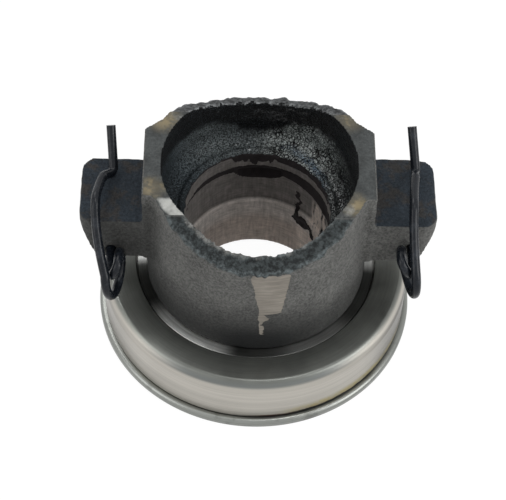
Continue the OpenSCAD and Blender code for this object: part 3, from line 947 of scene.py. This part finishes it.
def bore_relief(places, grease, bored):
    """How far the bore's wall is hollow at the slot, less the height of the grease on it."""
    z = places[:, 2]
    reach = np.abs(turn_from(places, SLOT_TURN)) / 19
    slot_z = 26.4 + 2.4 * reach**4
    slot = fall(reach, 0.8, 1) * step(z, slot_z, slot_z + 0.6) * fall(z, 29.2, 29.8)
    recess = bored & (z > RECESS_LOW_Z + 1) & (z < RECESS_HIGH_Z - 0.4)
    blobs = 0.6 * np.clip(field(places, 2.2, 3, 21.0) + 0.4, 0, 1) * np.minimum(grease, 1) * bored
    return recess * slot - blobs * (1 - recess * step(z, 25, 27))


def roughen(places, normals, masks, sizes):
    """Moves the casting's skin: lumps, grain, the rough rim with its flash, and runs of black coat."""
    x, y, z = places.T
    radius = np.hypot(x, y)
    inner = (radius < MOUTH_R + 0.3) & (z > FLOOR_Z - 0.5)
    bored = (radius < BORE_R + RECESS_DEPTH + 0.4) & (z < FLOOR_Z)
    nose = (radius < NOSE_R + 0.4) & (z < COLLAR_SEAT_Z + 0.4)
    pad = (rim_depth(places) < 0.5) & (np.abs(y) < PAD_HALF)
    cast = (1.0 - (bored | nose | pad)) * (1 - 0.8 * masks["gate"])
    grains = field(places, 1.7, 2, 5.0)
    push = cast * (sizes.lump * field(places, 5.0, 2, 1.0) + sizes.grain * grains) / MM
    push += inner * cast * 0.05 * grains * masks["wet"]
    push += masks["rim"] * np.where(y > 0, 0.2, 0.35) * field(places, 1.9, 3, 9.0)
    outward = np.column_stack([x, y, np.zeros_like(z)]) / np.maximum(radius, TINY)[:, None]
    widen = ragged_rim(places) + bore_relief(places, masks["grease"], bored)
    flash = masks["rim"] * rim_flash(places) * sizes.flash / MM
    dish(places, inner, sizes.dish / MM)
    moved = places + normals * push[:, None] + outward * widen[:, None]
    moved[:, 2] += flash
    return moved


def store(mesh, masks):
    """Keeps the shares on the mesh, for its materials to read."""
    for name, values in masks.items():
        attribute = mesh.attributes.new(name, "FLOAT", "POINT")
        attribute.data.foreach_set("value", values.astype(np.float32))


def smooth(mesh):
    """Shades all faces smooth."""
    mesh.polygons.foreach_set("use_smooth", np.ones(len(mesh.polygons), bool))
    mesh.update()


def fit(obj, body, slot, *nodes):
    """Puts a finished piece on its body in place of the solids that it stands for."""
    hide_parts(*nodes)
    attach(obj, body)


class RELEASE_OT_carrier(bpy.types.Operator):
    """Rebuild the carrier's skin as a casting with a coated mouth, a bored hole and ground pads"""

    bl_idname = "release_bearing.carrier"
    bl_label = "Cast carrier"

    def execute(self, context):
        sizes = context.scene.release_carrier
        obj = carrier_skin(sizes.voxel)
        mesh = obj.data
        if not len(mesh.polygons):
            raise RuntimeError("the carrier's skin is empty")
        places, normals = vertex_arrays(mesh)
        true_faces(places)
        masks = carrier_masks(places, normals)
        zones = carrier_zones(places, normals)
        moved = roughen(places, normals, masks, sizes)
        mesh.vertices.foreach_set("co", (moved * MM).ravel())
        store(mesh, masks)
        mesh.materials.clear()
        for finish in (cast_iron, mouth_coat, bored_land, ground_pad):
            mesh.materials.append(finish(sizes))
        for face in mesh.polygons:
            corners = zones[list(face.vertices)]
            face.material_index = int(np.bincount(corners).argmax())
        smooth(mesh)
        fit(obj, "carrier", "cast_iron", "carrier")
        return {"FINISHED"}


# Bearing


def pressed_steel(tint):
    """Pressed shell: painted darker on top with a painted highlight at the left front, a soft shoulder
    painted darker and lighter at the sides, a bright wall with painted shade at its ends and oil, and a
    painted shade line in the gap below, rust brown at the front.
    """
    made, board, shader = new_material("pressed_steel", Metallic=0.9, Specular_IOR_Level=0.5, IOR=1.5)
    place = board.place()
    x, y, z = board.parts(place)
    marks = board.group(turned_marks(), vector=place, pitch=0.35 * MM, waver=1.2)
    bands = board.group(turned_marks(), vector=place, pitch=2.4 * MM, waver=0.25)
    cloud = board.patches(place, 9 * MM, 3.0, 0.6)
    angle = board.math("ARCTAN2", y, x)
    side = SHELL_R * MM
    # Painted shade: the wall darkens towards its left and right ends, where it turns away from the light
    left_end = board.rise(x, -0.97 * side, -0.7 * side)
    right_end = board.rise(x, 0.97 * side, 0.66 * side)
    shade = board.times(board.span(left_end, 0.62, 0.97), board.span(right_end, 0.36, 1.0))
    shade = board.times(shade, board.span(bands["Tone"], 0.9, 1.06))
    wall = board.tone(tint.shell_wall, shade)
    band = board.rise(z, (SHELL_TOP_Z - 2.3) * MM, (SHELL_TOP_Z - 1.2) * MM)
    # Painted light: the shoulder takes the wall's brighter colour towards the sides
    shoulder_light = board.rise(board.math("ABSOLUTE", x), 0.4 * side, 0.8 * side)
    base = board.mix(band, wall, board.mix(shoulder_light, tint.shoulder, tint.shell_wall))
    top = board.rise(z, (SHELL_TOP_Z - 1.1) * MM, (SHELL_TOP_Z - 0.1) * MM)
    # Painted shade: the upper face in its darker colour
    shaded_top = board.tone(tint.shell_top, board.span(cloud, 0.7, 1.3))
    # Painted highlight on the left front of the upper face
    top_highlight = board.rise(x, -0.5 * side, -0.9 * side)
    top_highlight = board.times(top_highlight, board.rise(y, -4 * MM, -14 * MM))
    shaded_top = board.tone(shaded_top, board.span(top_highlight, 1.0, 1.5))
    base = board.mix(top, base, shaded_top)
    base = board.tone(base, board.span(marks["Tone"], 0.93, 1.05))
    front = board.rise(angle, math.radians(-100), math.radians(-84))
    right = board.rise(angle, math.radians(-10), math.radians(-30))
    red = board.times(front, board.rise(angle, math.radians(-72), math.radians(-80)))
    low = board.rise(z, (SHELL_LOW_Z + 3.2) * MM, (SHELL_LOW_Z + 1.7) * MM)
    stain = board.group(ragged_stain(), vector=place, size=3.2 * MM, cover=0.54)["Mask"]
    oily = board.times(front, board.rise(angle, math.radians(-84), math.radians(-66)))
    reach = board.times(board.times(oily, right), low)
    base = board.mix(board.times(reach, board.span(stain, 0.45, 1.0)), base, tint.oil)
    # Painted shade: a dark line along the shell's lower edge in the gap above the flange, rust brown at the
    # front
    ragged = board.span(board.patches(place, 2.5 * MM, 3.0, 0.6), -0.45 * MM, 0.45 * MM)
    line = board.rise(board.plus(z, ragged), (SHELL_LOW_Z + 0.8) * MM, (SHELL_LOW_Z + 0.5) * MM)
    line = board.times(line, front)
    base = board.mix(line, base, board.mix(red, tint.grime_and_shade, tint.rust))
    dress(board, shader, base, board.span(cloud, 0.3, 0.44), marks["Height"], 0.02 * MM)
    return made


def ground_steel(name, tone, tint, roughness):
    """Ground steel of the races and balls with fine turning marks, dark stains, and painted shade on the
    flange beside the gap under the shell.
    """
    made, board, shader = new_material(name, Metallic=0.95, Specular_IOR_Level=0.5, IOR=1.5)
    place = board.place()
    marks = board.group(turned_marks(), vector=place, pitch=0.3 * MM, waver=1.0)
    cloud = board.patches(place, 6 * MM, 3.0, 0.6)
    stain = board.group(ragged_stain(), vector=place, size=7 * MM, cover=0.42)["Mask"]
    base = board.tone(tone, board.span(marks["Tone"], 0.86, 1.06))
    base = board.mix(board.times(stain, 0.3), base, tint.grime_and_shade)
    radius = board.radius(place)
    # Painted shade on the flange's top beside the shell's lip, weaker on the left
    gap = board.rise(radius, (FLANGE_R - 0.5) * MM, (FLANGE_R - 1.7) * MM)
    gap = board.times(gap, board.rise(radius, (SHELL_R - 2) * MM, (SHELL_R - 1) * MM))
    rightward = board.rise(board.parts(place)[0], -12 * MM, 4 * MM)
    base = board.mix(board.times(gap, board.span(rightward, 0.0, 0.4)), base, tint.grime_and_shade)
    uneven = board.span(cloud, roughness - 0.06, roughness + 0.1)
    dress(board, shader, base, uneven, marks["Height"], 0.015 * MM)
    return made


def oily_steel(tint):
    """Dark oily steel of the fixed race, with painted highlights in a few places around it."""
    made, board, shader = new_material("oily_steel", Metallic=0.95, Specular_IOR_Level=0.5, IOR=1.5)
    place = board.place()
    x, y, _ = board.parts(place)
    marks = board.group(turned_marks(), vector=place, pitch=0.3 * MM, waver=1.0)
    stain = board.group(ragged_stain(), vector=place, size=5 * MM, cover=0.5)["Mask"]
    radius = board.radius(place)
    painted_highlight = 0.0
    # Each painted highlight brightens the race around one middle turn
    for middle, half, share in RACE_HIGHLIGHTS:
        turn = math.radians(middle)
        along = board.plus(board.times(x, math.cos(turn)), board.times(y, math.sin(turn)))
        cosine = board.math("DIVIDE", along, radius)
        glint = board.rise(cosine, math.cos(math.radians(half)), 1.0)
        painted_highlight = board.math("MAXIMUM", painted_highlight, board.times(glint, share))
    base = board.mix(painted_highlight, tint.oily_steel, tint.race_highlight)
    base = board.tone(base, board.span(marks["Tone"], 0.8, 1.1))
    base = board.mix(board.times(stain, 0.1), base, tint.grime_and_shade)
    dress(board, shader, base, board.span(stain, 0.3, 0.36), marks["Height"], 0.015 * MM)
    return made


def cage_brass(tint):
    """Turned brass of the cage with brown stains."""
    made, board, shader = new_material("cage_brass", Metallic=0.9, IOR=1.5)
    place = board.place()
    marks = board.group(turned_marks(), vector=place, pitch=0.4 * MM, waver=2.0)
    stain = board.group(ragged_stain(), vector=place, size=3 * MM, cover=0.45)["Mask"]
    base = board.tone(tint.brass, board.span(marks["Tone"], 0.8, 1.08))
    base = board.mix(board.times(stain, 0.4), base, tint.rust)
    dress(board, shader, base, board.span(stain, 0.32, 0.55), marks["Height"], 0.02 * MM)
    return made


def seal_rubber(tint):
    """Matt black rubber of the inner seal."""
    made, board, shader = new_material("seal_rubber", Specular_IOR_Level=0.35, IOR=1.5)
    place = board.place()
    grain = board.group(cast_grain(), vector=place, size=0.4 * MM)
    base = board.tone(tint.rubber, board.span(grain["Tone"], 0.75, 1.3))
    dress(board, shader, base, board.span(grain["Tone"], 0.6, 0.75), grain["Height"], 0.04 * MM)
    return made


def corner_arc(before, here, after, radius, steps=10):
    """Points of the arc that rounds a corner of a line."""
    u, v = (before - here).normalized(), (after - here).normalized()
    half = u.angle(v) / 2
    inward, across = (u + v).normalized(), (u - v).normalized()
    centre = here + inward * radius / math.sin(half)
    sweep = math.pi / 2 - half
    turns = [sweep * (1 - 2 * k / steps) for k in range(steps + 1)]
    return [centre + radius * (across * math.sin(t) - inward * math.cos(t)) for t in turns]


def rounded(corners, steps=6):
    """A closed outline of (radius, height, rounding) corners with each rounding drawn as an arc."""
    outline = []
    for i, corner in enumerate(corners):
        before, here, after = (Vector(corners[k % len(corners)][:2]) for k in (i - 1, i, i + 1))
        outline += corner_arc(before, here, after, corner[2], steps)
    return outline


def turned(name, outline, segments):
    """A closed outline in millimetres turned once around Z."""
    angles = [2 * math.pi * k / segments for k in range(segments)]
    points = [(p.x * math.cos(a) * MM, p.x * math.sin(a) * MM, p.y * MM) for a in angles for p in outline]
    count = len(outline)
    faces = [
        (s * count + i, s * count + (i + 1) % count, t * count + (i + 1) % count, t * count + i)
        for s, t in ((k, (k + 1) % segments) for k in range(segments))
        for i in range(count)
    ]
    mesh = bpy.data.meshes.new(name)
    mesh.from_pydata(points, [], faces)
    merge_doubles(mesh)
    smooth(mesh)
    return add_object(name, mesh)


def track(low, steps=24):
    """Corners of the ball track in a race, from its outer to its inner edge."""
    middle_z = (SHELL_TOP_Z - SHELL_WALL) / 2
    half = math.acos(LAND_GAP / 2 / GROOVE_R)
    side = -1 if low else 1
    corners = []
    for k in range(steps + 1):
        t = half * (1 - 2 * k / steps)
        out, up = GROOVE_R * math.sin(t), side * GROOVE_R * math.cos(t)
        corners.append((PITCH_R + out, middle_z + up, TRACK_ROUND))
    return corners


def shell_outline():
    """Corners of the pressed shell's section, each with its radius, height and rounding."""
    inner_r = SHELL_R - SHELL_WALL
    under = SHELL_TOP_Z - SHELL_WALL
    return [
        (SHELL_HOLE_R, under, 0.1),
        (SHELL_HOLE_R, SHELL_TOP_Z, 0.25),
        (SHELL_R - SHOULDER_DROP, SHELL_TOP_Z, 1.4),
        (SHELL_R - SHOULDER_LEAN, SHELL_TOP_Z - SHOULDER_DROP, 1.8),
        (SHELL_R, SHELL_TOP_Z - SHOULDER_END, 1.2),
        (SHELL_R, SHELL_LOW_Z, 0.35),
        (inner_r - LIP_REACH, SHELL_LOW_Z, 0.2),
        (inner_r - LIP_REACH, SHELL_LOW_Z + LIP_T, 0.2),
        (inner_r, SHELL_LOW_Z + LIP_T, 0.2),
        (inner_r, under, 1.2),
    ]


def fixed_race_outline():
    """Corners of the fixed race's section."""
    land_z = (SHELL_TOP_Z - SHELL_WALL + LAND_GAP) / 2
    outer_r = SHELL_R - SHELL_WALL - RACE_GAP
    boss_r = SHELL_HOLE_R - HOLE_GAP
    under = SHELL_TOP_Z - SHELL_WALL
    return [
        (NOSE_R + PRESS_GAP, land_z, 0.1),
        (NOSE_R + PRESS_GAP, COLLAR_SEAT_Z, 0.1),
        (boss_r, COLLAR_SEAT_Z, 0.2),
        (boss_r, under, 0.05),
        (outer_r, under, 1.2),
        (outer_r, land_z, 0.2),
        *track(low=False),
    ]


def turning_race_outline():
    """Corners of the turning race's section with its flange."""
    land_z = (SHELL_TOP_Z - SHELL_WALL - LAND_GAP) / 2
    inner_r = SHELL_R - SHELL_WALL
    neck_r = inner_r - LIP_REACH - RUN_GAP
    shoulder_z = SHELL_LOW_Z + LIP_T + RUN_GAP
    return [
        (RACE_IN_R, 0, 0.3),
        (FLANGE_R, 0, 1.0),
        (FLANGE_R, FLANGE_T, 1.0),
        (neck_r, FLANGE_T, 0.2),
        (neck_r, shoulder_z, 0.1),
        (inner_r - RUN_GAP, shoulder_z, 0.15),
        (inner_r - RUN_GAP, land_z, 0.2),
        *track(low=True),
        (RACE_IN_R, land_z, 0.2),
    ]


class RELEASE_OT_bearing(bpy.types.Operator):
    """Turn the pressed shell and the two races"""

    bl_idname = "release_bearing.bearing"
    bl_label = "Shell and races"

    def execute(self, context):
        sizes = context.scene.release_bearing
        bright = ground_steel("bearing_steel", sizes.steel, sizes, 0.32)
        pressed, oily = pressed_steel(sizes), oily_steel(sizes)
        pieces = (
            ("pressed_shell", shell_outline, pressed, "carrier", "pressed_steel", "bearing_shell"),
            ("fixed_race", fixed_race_outline, oily, "carrier", "bearing_steel", "stationary_race"),
            ("turning_race", turning_race_outline, bright, "race", "bearing_steel", "rotating_race"),
        )
        for name, outline, finish, body, slot, node in pieces:
            obj = turned(name, rounded(outline()), sizes.segments)
            obj.data.materials.append(finish)
            fit(obj, body, slot, node)
        return {"FINISHED"}


class RELEASE_OT_rolling_set(bpy.types.Operator):
    """Give the balls, the cage and the inner seal their finish"""

    bl_idname = "release_bearing.rolling_set"
    bl_label = "Balls, cage and seal"

    def execute(self, context):
        sizes = context.scene.release_bearing
        finishes = {"ball_cage": cage_brass(sizes), "inner_seal": seal_rubber(sizes)}
        polished = ground_steel("ball_steel", sizes.steel, sizes, 0.12)
        balls = [name for name in frame["nodes"] if name.startswith("ball_") and name not in finishes]
        if not balls:
            raise RuntimeError("the frame holds no balls")
        finishes.update((name, polished) for name in balls)
        for name, finish in finishes.items():
            materials = frame["nodes"][name].data.materials
            materials.clear()
            materials.append(finish)
        return {"FINISHED"}


# Clips


def spring_wire(tint):
    """Black wire, rubbed bright in places, with bare cut ends."""
    made, board, shader = new_material("spring_wire", Specular_IOR_Level=0.24, IOR=1.5)
    place = board.place()
    grain = board.group(cast_grain(), vector=place, size=0.6 * MM)
    rub = board.group(ragged_stain(), vector=place, size=3.5 * MM, cover=0.42)["Mask"]
    base = board.mix(board.times(rub, 0.22), tint.wire, tint.worn)
    base = board.mix(board.mask("cut"), base, tint.cut)
    dress(board, shader, base, board.span(grain["Tone"], 0.2, 0.32), grain["Height"], 0.03 * MM)
    return made


def between(start, end, steps=8):
    """Points between two others on a straight line."""
    return [start.lerp(end, k / steps) for k in range(1, steps)]


def ease(share):
    """A share from 0 to 1 that starts and ends slowly."""
    return (1 - math.cos(math.pi * share)) / 2


def clip_route(side, coil_x, arm_x, crook_y, bow, tip_x, tip_out, lean, spread, drop, steps=96):
    """Middle line of a clip in millimetres, from its end in the ear through its coil to the lead-in tip."""
    coil_z = EAR_LOW_Z - drop + WIRE_R + COIL_R
    rise = Vector((ARM_TOP[0] - COIL_Y, ARM_TOP[1] - coil_z))
    turn = 2 * math.pi + BACK_TURN - math.atan2(rise.y, rise.x) - math.acos(COIL_R / rise.length)
    arm_z = coil_z - COIL_R * math.cos(turn)
    coil = []
    for k in range(steps + 1):
        t = turn * k / steps
        radius = HOOK_R if t < HOOK_TURN else COIL_R
        z = coil_z + COIL_R - radius * (1 + math.cos(t))
        if t > BACK_TURN:
            inset = spread * ease((turn - t) / (turn - BACK_TURN))
        else:
            inset = spread - LEG_STEP * ease(1 - min(t / HOOK_TURN, 1))
        x = coil_x - inset - (arm_z - z) * math.tan(math.radians(lean))
        coil.append(Vector((x, COIL_Y - radius * math.sin(t), z)))
    end = Vector((coil[0].x, EAR_FRONT_Y + ANCHOR_DEPTH - CLIP_GAP, coil[0].z))
    arm_start = coil[-1]
    crook = Vector((arm_x, EAR_FRONT_Y + crook_y, CROOK_Z))
    arm_length = crook.y - arm_start.y
    arm_top = Vector((coil_x + (arm_x - coil_x) * (ARM_TOP[0] - arm_start.y) / arm_length, *ARM_TOP))
    heel = Vector((tip_x, crook.y + HEEL_STEP, HEEL_Z))
    tip = heel + Vector((tip_out, TIP_LEN * math.cos(TIP_SLOPE), TIP_LEN * math.sin(TIP_SLOPE)))
    top_bend = corner_arc(arm_start, arm_top, crook, ARM_BEND_R)
    crook_bend = corner_arc(arm_top, crook, heel, CROOK_BEND_R)
    arm = between(arm_start, top_bend[0]) + top_bend + between(top_bend[-1], crook_bend[0])
    for p in arm:
        p.x += bow * math.sin(math.pi * (p.y - arm_start.y) / arm_length)
    points = [end, *coil, *arm, *crook_bend, *corner_arc(crook, heel, tip, CROOK_BEND_R), tip]
    return [Vector((side * p.x, p.y, p.z)) for p in points]


def wire_tree():
    """Geometry nodes that sweep a round wire along a line of edges."""
    tree = bpy.data.node_groups.new("wire_along_route", "GeometryNodeTree")
    kinds = {"Route": "Geometry", "Radius": "Float", "Sides": "Int", "Finish": "Material"}
    for name, kind in kinds.items():
        tree.interface.new_socket(name, in_out="INPUT", socket_type=f"NodeSocket{kind}")
    tree.interface.new_socket("Wire", in_out="OUTPUT", socket_type="NodeSocketGeometry")
    board = Board(tree)
    given = board.node("NodeGroupInput").outputs
    line = board.node_fed("GeometryNodeMeshToCurve", given["Route"])
    circle = board.node("GeometryNodeCurvePrimitiveCircle")
    board.feed_named(circle, resolution=given["Sides"], radius=given["Radius"])
    sweep = board.node_fed("GeometryNodeCurveToMesh", line.outputs[0])
    board.feed_named(sweep, profile_curve=circle.outputs["Curve"], fill_caps=True)
    realized = board.node_fed("GeometryNodeRealizeInstances", sweep.outputs[0])
    finished = board.node_fed("GeometryNodeSetMaterial", realized.outputs[0])
    board.feed_named(finished, material=given["Finish"])
    board.feed(board.node("NodeGroupOutput").inputs["Wire"], finished.outputs[0])
    return tree


def wire_piece(name, route, tree, sides, finish):
    """A round wire along a route in millimetres, as a plain mesh."""
    mesh = bpy.data.meshes.new(name)
    mesh.from_pydata([p * MM for p in route], [(i, i + 1) for i in range(len(route) - 1)], [])
    obj = add_object(name, mesh)
    modifier = obj.modifiers.new("wire", "NODES")
    modifier.node_group = tree
    values = {"Radius": WIRE_R * MM, "Sides": sides, "Finish": finish}
    for item in tree.interface.items_tree:
        if item.in_out == "INPUT" and item.name in values:
            modifier[item.identifier] = values[item.name]
    obj.data = plain_mesh(obj)
    if not len(obj.data.polygons):
        raise RuntimeError(f"{name} has no faces")
    merge_doubles(obj.data)
    swept = np.array([len(face.vertices) == 4 for face in obj.data.polygons])
    obj.data.polygons.foreach_set("use_smooth", swept)
    cut = obj.data.attributes.new("cut", "FLOAT", "FACE")
    cut.data.foreach_set("value", (~swept).astype(np.float32))
    obj.data.update()
    return obj


class RELEASE_OT_clips(bpy.types.Operator):
    """Bend the two wire clips"""

    bl_idname = "release_bearing.clips"
    bl_label = "Wire clips"

    def execute(self, context):
        sizes = context.scene.release_clips
        tree = wire_tree()
        finish = spring_wire(sizes)
        for side, shape in CLIPS.items():
            route = clip_route(**shape)
            obj = wire_piece(f"{side}_wire_clip", route, tree, sizes.sides, finish)
            node = f"{side}_clip"
            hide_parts(node)
            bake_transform(obj)
        return {"FINISHED"}


# Stage


def seen_rays(board):
    """1 for rays from the camera and for mirrored or refracted ones, 0 for the light on things."""
    path = board.node("ShaderNodeLightPath").outputs
    seen = board.math("MAXIMUM", path["Is Camera Ray"], path["Is Glossy Ray"])
    return board.math("MAXIMUM", seen, path["Is Transmission Ray"])


def pale_floor(look):
    """Floor that looks white and keeps a soft shadow."""
    made = bpy.data.materials.new("pale_floor")
    made.use_nodes = True
    board = Board(made.node_tree)
    made.node_tree.nodes.clear()
    matte = board.node_fed("ShaderNodeBsdfDiffuse", look.floor_colour)
    glow = board.node("ShaderNodeEmission")
    board.feed_named(glow, strength=look.floor_glow)
    share = board.times(seen_rays(board), 1 - look.shadow_share)
    mixed = board.node_fed("ShaderNodeMixShader", share)
    board.feed(mixed.inputs[1], matte.outputs[0])
    board.feed(mixed.inputs[2], glow.outputs[0])
    board.node_fed("ShaderNodeOutputMaterial", mixed.outputs[0])
    return made


def add_lamp(name, power, place, size):
    """A rectangular lamp that points at the origin."""
    lamp = bpy.data.lights.new(name, "AREA")
    lamp.energy = power
    lamp.shape = "RECTANGLE"
    lamp.size, lamp.size_y = size
    obj = add_object(name, lamp)
    obj.location = place
    obj.rotation_euler = (-Vector(place)).to_track_quat("-Z", "Y").to_euler()


def add_camera(look):
    """The camera, turned, raised and tilted around its target."""
    view = bpy.data.cameras.new("photo_view")
    view.lens = look.lens
    view.sensor_width = SENSOR_MM
    view.clip_start = NEAR_CLIP
    obj = add_object("photo_view", view)
    level, drop = math.cos(look.elevation), math.sin(look.elevation)
    forward = Vector((level * math.sin(look.azimuth), level * math.cos(look.azimuth), -drop))
    right = forward.cross(Vector((0, 0, 1))).normalized()
    up = right.cross(forward)
    rolled = Matrix.Rotation(-look.roll, 3, forward)
    axes = Matrix((rolled @ right, rolled @ up, -forward)).transposed()
    obj.matrix_world = Matrix.Translation(Vector(look.target) - forward * look.distance) @ axes.to_4x4()
    bpy.context.scene.camera = obj


class RELEASE_OT_stage(bpy.types.Operator):
    """Lay the floor, light it and set the camera"""

    bl_idname = "release_bearing.stage"
    bl_label = "Stage"

    def execute(self, context):
        look = context.scene.release_stage
        half = look.floor / 2
        mesh = bpy.data.meshes.new("floor")
        corners = [(-half, -half, 0), (half, -half, 0), (half, half, 0), (-half, half, 0)]
        mesh.from_pydata(corners, [], [(0, 1, 2, 3)])
        mesh.materials.append(pale_floor(look))
        add_object("floor", mesh)
        world = bpy.data.worlds.new("studio")
        world.use_nodes = True
        board = Board(world.node_tree)
        background = world.node_tree.nodes["Background"]
        glow = board.span(seen_rays(board), look.fill, 1.0)
        board.feed_named(background, color=(1, 1, 1), strength=glow)
        context.scene.world = world
        for name, (place, size) in LAMPS.items():
            add_lamp(f"{name}_lamp", getattr(look, name), place, size)
        add_camera(look)
        context.scene.view_settings.view_transform = "Standard"
        return {"FINISHED"}


class RELEASE_PT_panel(bpy.types.Panel):
    """Buttons of the release bearing"""

    bl_idname = "RELEASE_PT_panel"
    bl_label = "Release bearing"
    bl_space_type = "VIEW_3D"
    bl_region_type = "UI"
    bl_category = "Release bearing"

    def draw(self, context):
        for operator in OPERATORS:
            self.layout.operator(operator.bl_idname)


OPERATORS = (
    RELEASE_OT_stage,
    RELEASE_OT_clips,
    RELEASE_OT_bearing,
    RELEASE_OT_rolling_set,
    RELEASE_OT_carrier,
)
SETTINGS = {
    "release_carrier": CarrierSettings,
    "release_bearing": BearingSettings,
    "release_clips": ClipSettings,
    "release_stage": StageSettings,
}
CLASSES = (*SETTINGS.values(), *OPERATORS, RELEASE_PT_panel)


def register():
    """Adds the settings, the operators and the panel."""
    for cls in CLASSES:
        bpy.utils.register_class(cls)
    for name, cls in SETTINGS.items():
        setattr(bpy.types.Scene, name, PointerProperty(type=cls))


def unregister():
    """Takes them away again."""
    for name in SETTINGS:
        delattr(bpy.types.Scene, name)
    for cls in reversed(CLASSES):
        bpy.utils.unregister_class(cls)


def main():
    """Builds all pieces on their stage."""
    register()
    bpy.ops.release_bearing.stage()
    bpy.ops.release_bearing.clips()
    bpy.ops.release_bearing.bearing()
    bpy.ops.release_bearing.rolling_set()
    bpy.ops.release_bearing.carrier()


if __name__ == "__main__":
    main()
